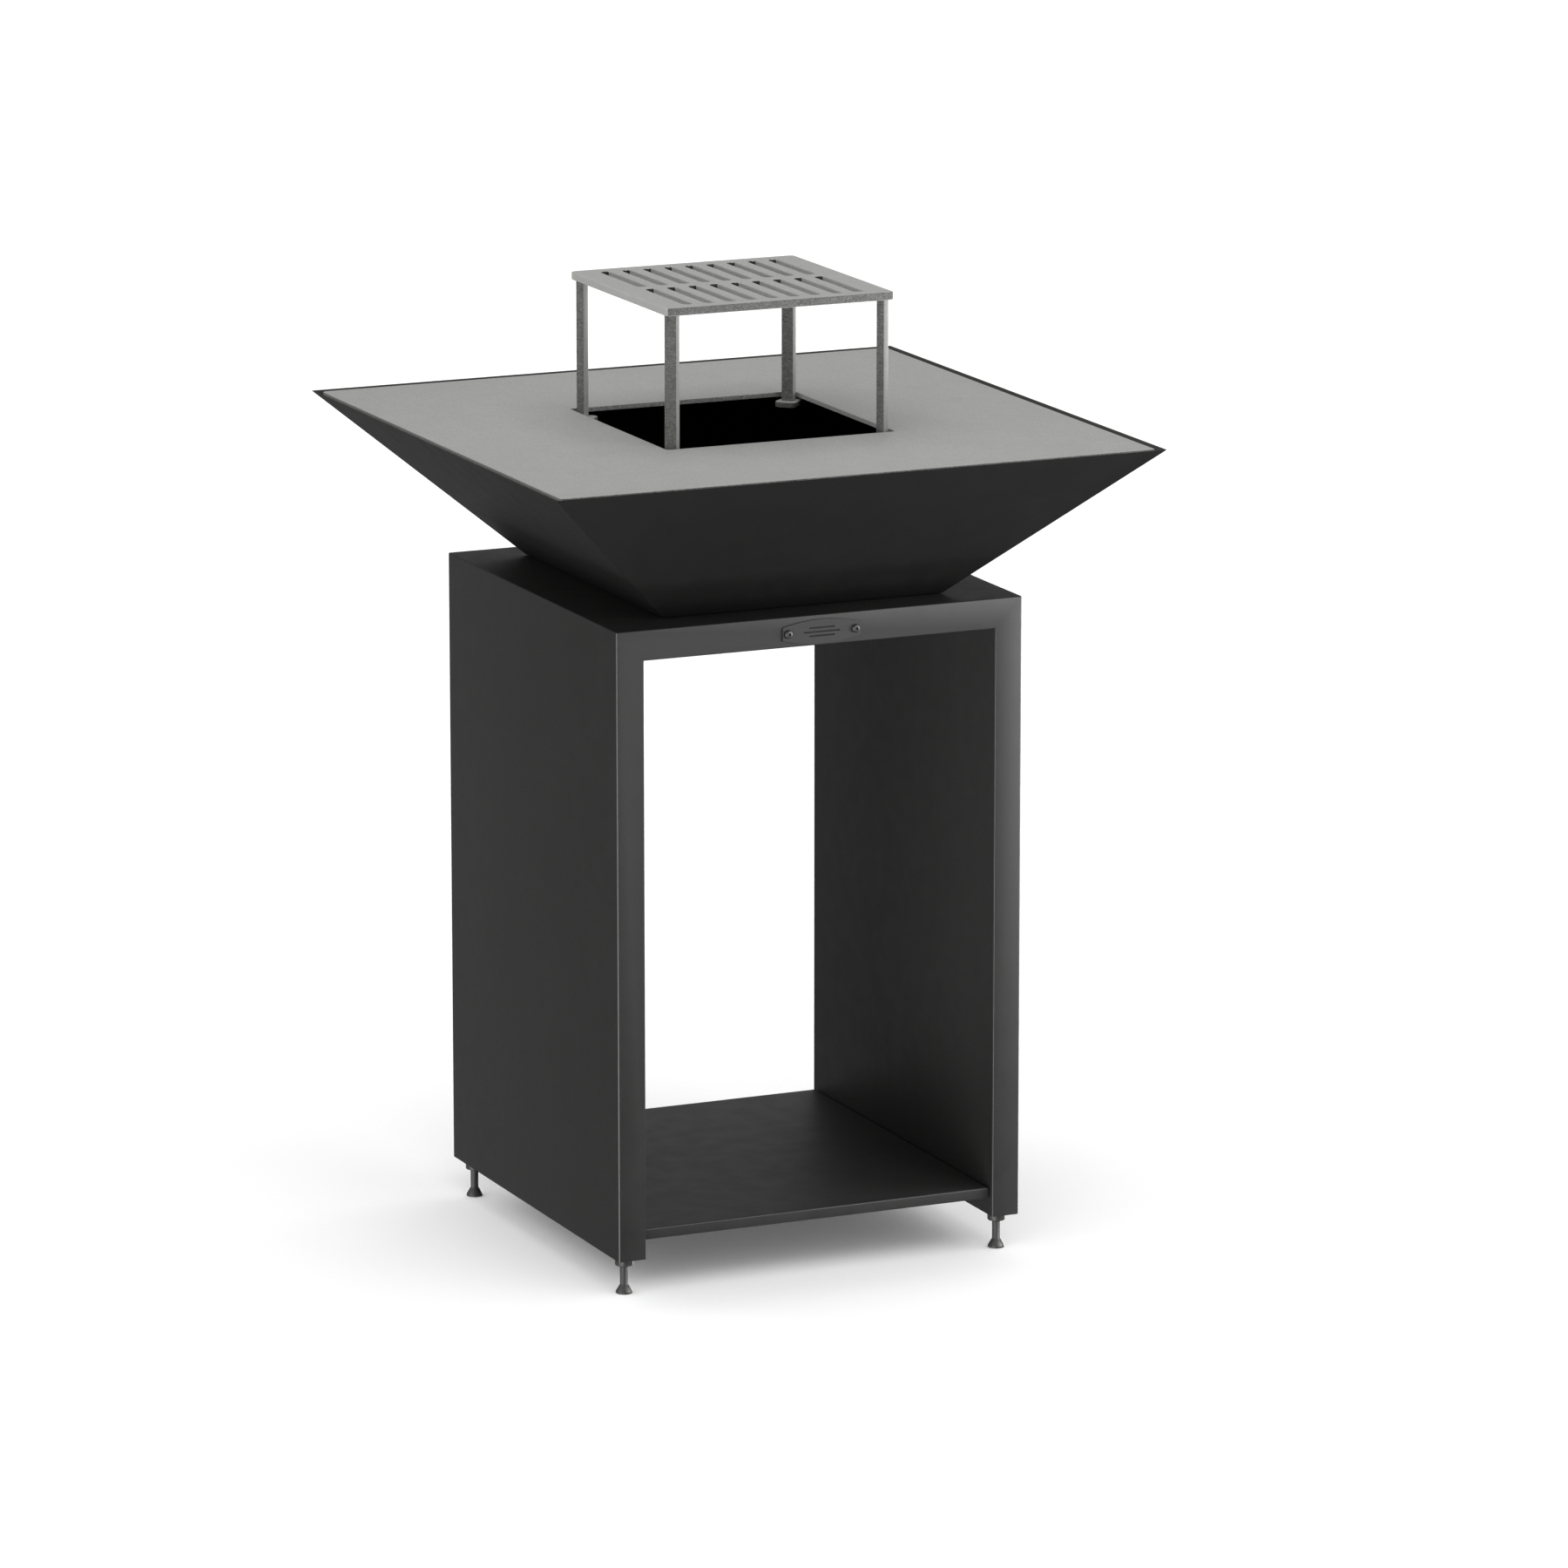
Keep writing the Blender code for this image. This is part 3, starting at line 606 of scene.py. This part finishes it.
def make_tabs(face, edge):
    """Bars that reach in under the griddle, each hung from a raised step at its outer end."""
    low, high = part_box("support_tab_front_left")
    step = high.z - low.z - TAB_THICKNESS
    blank = bmesh.new()
    outline = rounded_rectangle(TAB_LENGTH / 2, TAB_WIDTH / 2, TAB_CORNER, segments=10)
    add_prism(blank, outline, 0, TAB_THICKNESS + step)
    master = as_object("support_tab_skin", blank, face, edge)
    recess = bmesh.new()
    inner = TAB_LENGTH / 2 - TAB_STEP_LENGTH
    add_box(recess, (-TAB_LENGTH / 2 - CUT, -CUT, TAB_THICKNESS), (inner, CUT, TAB_THICKNESS + CUT))
    carve(master, recess)
    mark_sides(master)
    soften(master, TAB_EDGE)
    for name in CORNERS:
        middle = middle_of(f"support_tab_{name}")
        middle.z = low.z
        tab = copy_of(master, f"support_tab_skin_{name}", middle, (0, 0, math.atan2(middle.y, middle.x)))
        settle(tab, "griddle", "griddle_steel", f"support_tab_{name}")
    bpy.data.objects.remove(master, do_unlink=True)


def make_grate(face, lit_side_edge, shaded_cut_edge, painted_slot_shadow):
    """Slotted plate: its ±X sides take the top's finish and its slots' long walls the lit copy, painted light;
    its front and back take the shaded copy, painted shade; its slots' ends are a painted shadow.
    """
    low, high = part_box("grate_plate")
    shape = bmesh.new()
    add_prism(shape, rounded_rectangle(high.x, high.y, GRATE_CORNER), low.z, high.z)
    plate = as_object("grate_skin", shape, face, lit_side_edge, shaded_cut_edge, painted_slot_shadow)
    slots = bmesh.new()
    for row in (-1, 1):
        for column in range(SLOT_COLUMNS):
            middle = ((column - (SLOT_COLUMNS - 1) / 2) * SLOT_PITCH, row * SLOT_ROW_OFFSET)
            outline = rounded_rectangle(SLOT_WIDTH / 2, SLOT_LENGTH / 2, SLOT_CORNER, middle)
            add_prism(slots, outline, low.z - CUT, high.z + CUT)
    carve(plate, slots)
    rim = high.x - 2 * MM

    # Painted light by facing: outer ±X sides get the top's finish, slot walls towards ±X the lit copy, outer
    # ±Y sides the shaded copy, slot ends the painted shadow.
    def side_index(normal, middle):
        outside = max(abs(middle.x), abs(middle.y)) > rim
        if abs(normal.x) > abs(normal.y):
            return 0 if outside else 1
        return 2 if outside else 3

    mark_sides(plate, side_index)
    soften(plate, PLATE_EDGE, clamp=False)
    settle(plate, "grate", "grate_steel", "grate_plate")


def make_legs(face, edge):
    """Flat bars set across the diagonals; the faces towards the front left and back right take the shaded,
    rough copy as painted shade, and the others the lit copy as painted light.
    """
    low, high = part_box("grate_leg_front_left")
    half = (high.z - low.z) / 2
    outline = rounded_rectangle(LEG_THICKNESS / 2, LEG_WIDTH / 2, MM, segments=3)
    for name in CORNERS:
        middle = middle_of(f"grate_leg_{name}")
        # Painted light by facing: faces towards the front left and back right get the shaded copy, the others
        # the lit copy.
        on_shaded_diagonal = middle.x * middle.y > 0
        wide, narrow = (edge, face) if on_shaded_diagonal else (face, edge)
        shape = bmesh.new()
        add_prism(shape, outline, -half, half)
        leg = as_object(f"grate_leg_skin_{name}", shape, wide, narrow)
        mark_sides(leg, lambda normal, middle: 0 if abs(normal.x) > abs(normal.y) else 1)
        soften(leg, SHEET_EDGE)
        leg.location = middle
        leg.rotation_euler = (0, 0, math.atan2(middle.y, middle.x))
        settle(leg, "grate", "grate_steel", f"grate_leg_{name}")


# ---------------------------------------------------------------- badge and fasteners


def make_badge(coat, filler):
    """Lens-shaped plate with three plain, dark-filled grooves."""
    low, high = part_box("badge_plate")
    middle = (low + high) / 2
    half_width, half_height = high.x, (high.z - low.z) / 2
    rise = half_height - BADGE_END_HEIGHT / 2
    radius = (half_width**2 + rise**2) / (2 * rise)
    arc = []
    for step in range(BADGE_ARC_STEPS + 1):
        x = half_width * (1 - 2 * step / BADGE_ARC_STEPS)
        arc.append((x, half_height - radius + math.sqrt(radius**2 - x**2)))
    shape = bmesh.new()
    thickness = high.y - low.y
    add_prism(shape, arc + [(-x, -y) for x, y in arc], 0, thickness)
    badge = as_object("badge_skin", shape, coat, filler)
    grooves = bmesh.new()
    for row, length in enumerate(GROOVE_LENGTHS):
        place = (0, (1 - row) * GROOVE_PITCH)
        outline = rounded_rectangle(length / 2, GROOVE_WIDTH / 2, 0.49 * GROOVE_WIDTH, place, 5)
        add_prism(grooves, outline, thickness - GROOVE_DEPTH, thickness + CUT)
    carve(badge, grooves)
    for face in badge.data.polygons:
        in_groove = 0.1 * MM < thickness - face.center.z < thickness / 2 + 0.1 * MM
        if in_groove and abs(face.center.y) < GROOVE_PITCH + GROOVE_WIDTH and abs(face.center.x) < 30 * MM:
            face.material_index = 1
    soften(badge, FINE_EDGE, 2)
    badge.location = (0, high.y, middle.z)
    badge.rotation_euler = (math.pi / 2, 0, 0)
    settle(badge, "stand", "stand_coat", "badge_plate")


def screw_mesh(name, head, height, socket, shank, length, material):
    """Button-head screw along -Z: domed head with its seat on z = 0, hexagon socket, chamfered shank."""
    profile = [(0, height), (0.5 * head, height)]
    for step in range(1, DOME_STEPS + 1):
        angle = math.pi / 2 * step / DOME_STEPS
        profile.append((head * (0.5 + 0.5 * math.sin(angle)), height * (0.12 + 0.88 * math.cos(angle))))
    profile += [(head, 0.03 * height), (0.97 * head, 0), (shank, 0), (shank, -length + MM)]
    profile += [(shank - MM, -length), (0, -length)]
    screw = turned(name, profile, material, 40)
    recess = bmesh.new()
    add_prism(recess, hexagon(socket / math.sqrt(3)), 0.3 * height, height + CUT)
    carve(screw, recess)
    screw.data.shade_smooth()
    screw.data.set_sharp_from_angle(angle=math.radians(30))
    return screw


def make_screws(stainless, zinc):
    """The badge's two screws, the shelf's four and the bowl's four, seated where their CAD heads end."""
    small = screw_mesh("m6_screw", *M6_SIZES, 12 * MM, stainless)
    shelf = screw_mesh("m6_shelf_screw", *M6_SIZES, 14 * MM, zinc)
    large = screw_mesh("m8_screw", *M8_SIZES, 16 * MM, zinc)
    for side, sx in SIDES.items():
        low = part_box(f"badge_screw_{side}")[0]
        spot = middle_of(f"badge_screw_{side}")
        seat = (spot.x, low.y + M6_HEAD_HEIGHT, spot.z)
        turn = Vector((0, -1, 0)).to_track_quat("Z", "Y").to_euler()
        screw = copy_of(small, f"badge_screw_skin_{side}", seat, turn)
        settle(screw, "stand", "stainless_hardware", f"badge_screw_{side}")
        for end in ENDS:
            node = f"shelf_bolt_{side}_{end}"
            low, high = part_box(node)
            spot = middle_of(node)
            head_x = high.x if sx < 0 else low.x
            seat = (head_x + sx * M6_HEAD_HEIGHT, spot.y, spot.z)
            turn = Vector((-sx, 0, 0)).to_track_quat("Z", "Y").to_euler()
            bolt = copy_of(shelf, f"shelf_bolt_skin_{side}_{end}", seat, turn)
            settle(bolt, "stand", "zinc_hardware", node)
    for name in CORNERS:
        node = f"bowl_bolt_{name}"
        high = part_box(node)[1]
        spot = middle_of(node)
        bolt = copy_of(large, f"bowl_bolt_skin_{name}", (spot.x, spot.y, high.z - M8_HEAD_HEIGHT))
        settle(bolt, "stand", "zinc_hardware", node)
    for master in (small, shelf, large):
        bpy.data.objects.remove(master, do_unlink=True)


# ---------------------------------------------------------------- feet


def make_feet(blackened):
    """Collars under the bottom caps, and levelling feet with smooth stems."""
    bush_low, bush_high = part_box("foot_bush_front_left")
    foot_low, foot_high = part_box("levelling_foot_front_left")
    radius = (bush_high.x - bush_low.x) / 2
    base = (foot_high.x - foot_low.x) / 2
    stem, cone_top, lip = STEM_RADIUS, FOOT_CONE_TOP, BUSH_LIP
    collar_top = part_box("bottom_cap_left")[0].z - 0.3 * MM
    ring = [
        (BUSH_BORE_RADIUS, bush_low.z), (radius - 2.2 * lip, bush_low.z),
        (radius - 0.5 * lip, bush_low.z + 0.7 * lip), (radius, bush_low.z + 1.3 * lip),
        (radius, collar_top - 0.3 * MM), (radius - 0.3 * MM, collar_top),
        (BUSH_SPIGOT_RADIUS, collar_top), (BUSH_SPIGOT_RADIUS, bush_high.z), (BUSH_BORE_RADIUS, bush_high.z),
    ]
    bush = turned("foot_bush_skin", ring, blackened, closed=True)
    profile = [
        (0, 0), (base - 0.9 * MM, 0), (base - 0.25 * MM, 0.3 * MM), (base, 1 * MM), (base, 2 * MM),
        (base - 0.3 * MM, 3 * MM), (stem + 0.9 * MM, cone_top - 0.6 * MM), (stem + 0.3 * MM, cone_top),
        (stem, cone_top + 0.6 * MM), (stem, foot_high.z - MM), (stem - MM, foot_high.z), (0, foot_high.z),
    ]
    foot = turned("levelling_foot_skin", profile, blackened)
    for name in CORNERS:
        spot = middle_of(f"levelling_foot_{name}")
        collar = copy_of(bush, f"foot_bush_skin_{name}", (spot.x, spot.y, 0))
        settle(collar, "stand", "blackened_hardware", f"foot_bush_{name}")
        leveller = copy_of(foot, f"levelling_foot_skin_{name}", (spot.x, spot.y, 0))
        settle(leveller, f"foot_{name}", "blackened_hardware", f"levelling_foot_{name}")
    for master in (bush, foot):
        bpy.data.objects.remove(master, do_unlink=True)


# ---------------------------------------------------------------- studio


def make_camera():
    """The view that the looks were matched from."""
    data = bpy.data.cameras.new("camera")
    data.lens = CAMERA_LENS
    data.sensor_width = CAMERA_SENSOR
    camera = bpy.data.objects.new("camera", data)
    level = math.cos(CAMERA_ELEVATION)
    forward = Vector((
        math.sin(CAMERA_AZIMUTH) * level, math.cos(CAMERA_AZIMUTH) * level, -math.sin(CAMERA_ELEVATION),
    ))
    camera.location = CAMERA_AIM - CAMERA_DISTANCE * forward
    camera.rotation_euler = (math.pi / 2 - CAMERA_ELEVATION, 0, -CAMERA_AZIMUTH)
    bpy.context.scene.collection.objects.link(camera)
    bpy.context.scene.camera = camera


def make_floor():
    """A wide pale disc that takes the shadows and adds no light to the object."""
    shape = bmesh.new()
    bmesh.ops.create_circle(shape, cap_ends=True, segments=96, radius=FLOOR_RADIUS)
    nodes = Nodes("studio_floor", FLOOR_COLOUR, 0.9, 0.0)
    nodes.tint(FLOOR_COLOUR, nodes.spread(nodes.noise(0.8, 2), 0.995, 1.005))
    nodes.shader.inputs["Specular IOR Level"].default_value = 0.0
    nodes.shader.inputs["Emission Color"].default_value = (1, 1, 1, 1)
    nodes.shader.inputs["Emission Strength"].default_value = FLOOR_GLOW
    floor = as_object("studio_floor", shape, nodes.material)
    floor.visible_diffuse = False
    floor.visible_glossy = False
    floor.visible_shadow = False
    return floor


def linked_to(name, obj, state):
    """A light-linking collection that includes or excludes one object."""
    group = bpy.data.collections.new(name)
    group.objects.link(obj)
    group.collection_objects[0].light_linking.link_state = state
    return group


def softbox(name, place, size, power, receivers):
    """A rectangular area light, unseen by the camera, aimed at the middle of the object."""
    data = bpy.data.lights.new(name, "AREA")
    data.shape = "RECTANGLE"
    data.size, data.size_y = size
    data.energy = power
    light = bpy.data.objects.new(name, data)
    light.location = place
    light.rotation_euler = (Vector(SOFTBOX_AIM) - Vector(place)).to_track_quat("-Z", "Y").to_euler()
    light.visible_camera = False
    light.light_linking.receiver_collection = receivers
    bpy.context.scene.collection.objects.link(light)


def distant_light(name, azimuth, elevation, strength, angle, receivers):
    """A sun seen in the given direction, in degrees from the front towards +X and up."""
    data = bpy.data.lights.new(name, "SUN")
    data.energy = strength
    data.angle = angle
    light = bpy.data.objects.new(name, data)
    level = math.cos(math.radians(elevation))
    towards = Vector((
        math.sin(math.radians(azimuth)) * level, -math.cos(math.radians(azimuth)) * level,
        math.sin(math.radians(elevation)),
    ))
    light.rotation_euler = towards.to_track_quat("Z", "Y").to_euler()
    light.light_linking.receiver_collection = receivers
    bpy.context.scene.collection.objects.link(light)


def make_lights(floor):
    """The object and the floor each have their own lights."""
    all_but_floor = linked_to("lit_by_softboxes", floor, "EXCLUDE")
    floor_only = linked_to("lit_by_floor_light", floor, "INCLUDE")
    for name, place, size, power in SOFTBOXES:
        softbox(name, place, size, power, all_but_floor)
    for index, (azimuth, elevation, strength) in enumerate(TENT):
        distant_light(f"tent_{index}", azimuth, elevation, strength, TENT_ANGLE, all_but_floor)
    for index, (azimuth, elevation, strength) in enumerate(ROOF):
        distant_light(f"roof_{index}", azimuth, elevation, strength, ROOF_ANGLE, all_but_floor)
    distant_light("back_light", *BACK_LIGHT, BACK_ANGLE, all_but_floor)
    for index, (azimuth, elevation, strength) in enumerate((*FLOOR_RING, FLOOR_FRONT)):
        distant_light(f"floor_{index}", azimuth, elevation, strength, FLOOR_ANGLE, floor_only)


def make_world():
    """White behind the object; no light from the world otherwise."""
    world = bpy.data.worlds.new("studio")
    world.use_nodes = True
    tree = world.node_tree
    glow = tree.nodes["Background"]
    glow.inputs["Color"].default_value = (1, 1, 1, 1)
    glow.inputs["Strength"].default_value = 0.0
    backdrop = tree.nodes.new("ShaderNodeBackground")
    backdrop.inputs["Color"].default_value = (1, 1, 1, 1)
    backdrop.inputs["Strength"].default_value = BACKDROP_STRENGTH
    path = tree.nodes.new("ShaderNodeLightPath")
    mix = tree.nodes.new("ShaderNodeMixShader")
    tree.links.new(path.outputs["Is Camera Ray"], mix.inputs[0])
    tree.links.new(glow.outputs[0], mix.inputs[1])
    tree.links.new(backdrop.outputs[0], mix.inputs[2])
    tree.links.new(mix.outputs[0], tree.nodes["World Output"].inputs["Surface"])
    bpy.context.scene.world = world
    bpy.context.scene.view_settings.view_transform = "Standard"


def finish_hidden_nodes(zinc, stainless):
    """The nuts keep their CAD shapes and get real finishes."""
    for name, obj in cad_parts.items():
        if "_nut_" in name:
            for slot in obj.material_slots:
                slot.material = stainless if name.startswith("badge") else zinc


def main():
    """Builds the finishes, the pieces and the studio."""
    stand_coat = powder_coat("stand_coat", (0.0177, 0.0177, 0.0172), 0.5, 1.66)
    # Lighter copy of the stand coat: its base colour is a painted highlight on the rounded corners; its lower
    # roughness is gloss.
    painted_highlight_coat = powder_coat("painted_highlight_coat", (0.035, 0.035, 0.034), 0.35, 1.8)
    bowl_coat = powder_coat("bowl_coat", (0.0048, 0.0048, 0.0046), 0.55, 1.53)
    # Inside of the bowl: the coat darkening to near-black below the rim, painted shade.
    painted_shade = painted_shade_coat("bowl_painted_shade", (0.05, 0.05, 0.048), (0.002, 0.002, 0.002), 1.020, 1.012)
    griddle_face = rolled_steel("griddle_face", (0.487, 0.487, 0.474), 0.6, 0.055)
    grate_face = rolled_steel("grate_face", (0.487, 0.487, 0.474), 0.6, 0.055)
    # Lit and shaded copies for the legs' faces: painted light and shade by which way they face.
    lit_leg_side = rolled_steel("lit_leg_side", (0.33, 0.33, 0.322), 0.6, 0.055)
    # Shaded, mottled copy of the cut steel, darkened as painted shade, for the grate's front and back and the
    # tabs' sides.
    shaded_cut_edge = cut_steel("shaded_cut_edge", (0.18, 0.18, 0.176), 0.6, 0.1, 0.0013)
    # Shaded, mottled copy of the cut steel for the griddle's faces towards ±Y: painted shade.
    griddle_shaded_edge = cut_steel("griddle_shaded_edge", (0.27, 0.27, 0.264), 0.6, 0.1, 0.0013)
    shaded_leg_side = cut_steel("shaded_leg_side", (0.185, 0.185, 0.181), 0.6, 0.1, 0.0022)
    # Lit copy: the flat rolled finish at nearly the top's tone, painted light on the griddle's faces towards
    # ±X and the grate slots' long walls.
    lit_side_edge = rolled_steel("lit_side_edge", (0.48, 0.48, 0.469), 0.6, 0.055)
    # Near-black steel on the slots' end walls: a painted shadow.
    painted_slot_shadow = cut_steel("painted_slot_shadow_edge", (0.05, 0.05, 0.049), 0.7, 0.1, 0.0004)
    blackened = fine_metal("blackened_steel", (0.085, 0.085, 0.083), 0.4, 0.3)
    zinc = fine_metal("zinc_plate", (0.42, 0.42, 0.41), 0.35, 1.0)
    stainless = fine_metal("stainless", (0.13, 0.13, 0.13), 0.5, 1.0)
    filler = fine_metal("groove_filler", (0.006, 0.006, 0.006), 0.7, 0.0)

    make_shell(stand_coat, painted_highlight_coat)
    make_liner(stand_coat)
    make_caps(stand_coat)
    make_shelf(stand_coat)
    make_bowl(bowl_coat, painted_shade)
    make_griddle(griddle_face, lit_side_edge, griddle_shaded_edge)
    make_tabs(griddle_face, shaded_cut_edge)
    make_grate(grate_face, lit_side_edge, shaded_cut_edge, painted_slot_shadow)
    make_legs(lit_leg_side, shaded_leg_side)
    make_badge(stand_coat, filler)
    make_screws(stainless, zinc)
    make_feet(blackened)
    finish_hidden_nodes(zinc, stainless)

    make_camera()
    make_lights(make_floor())
    make_world()


main()
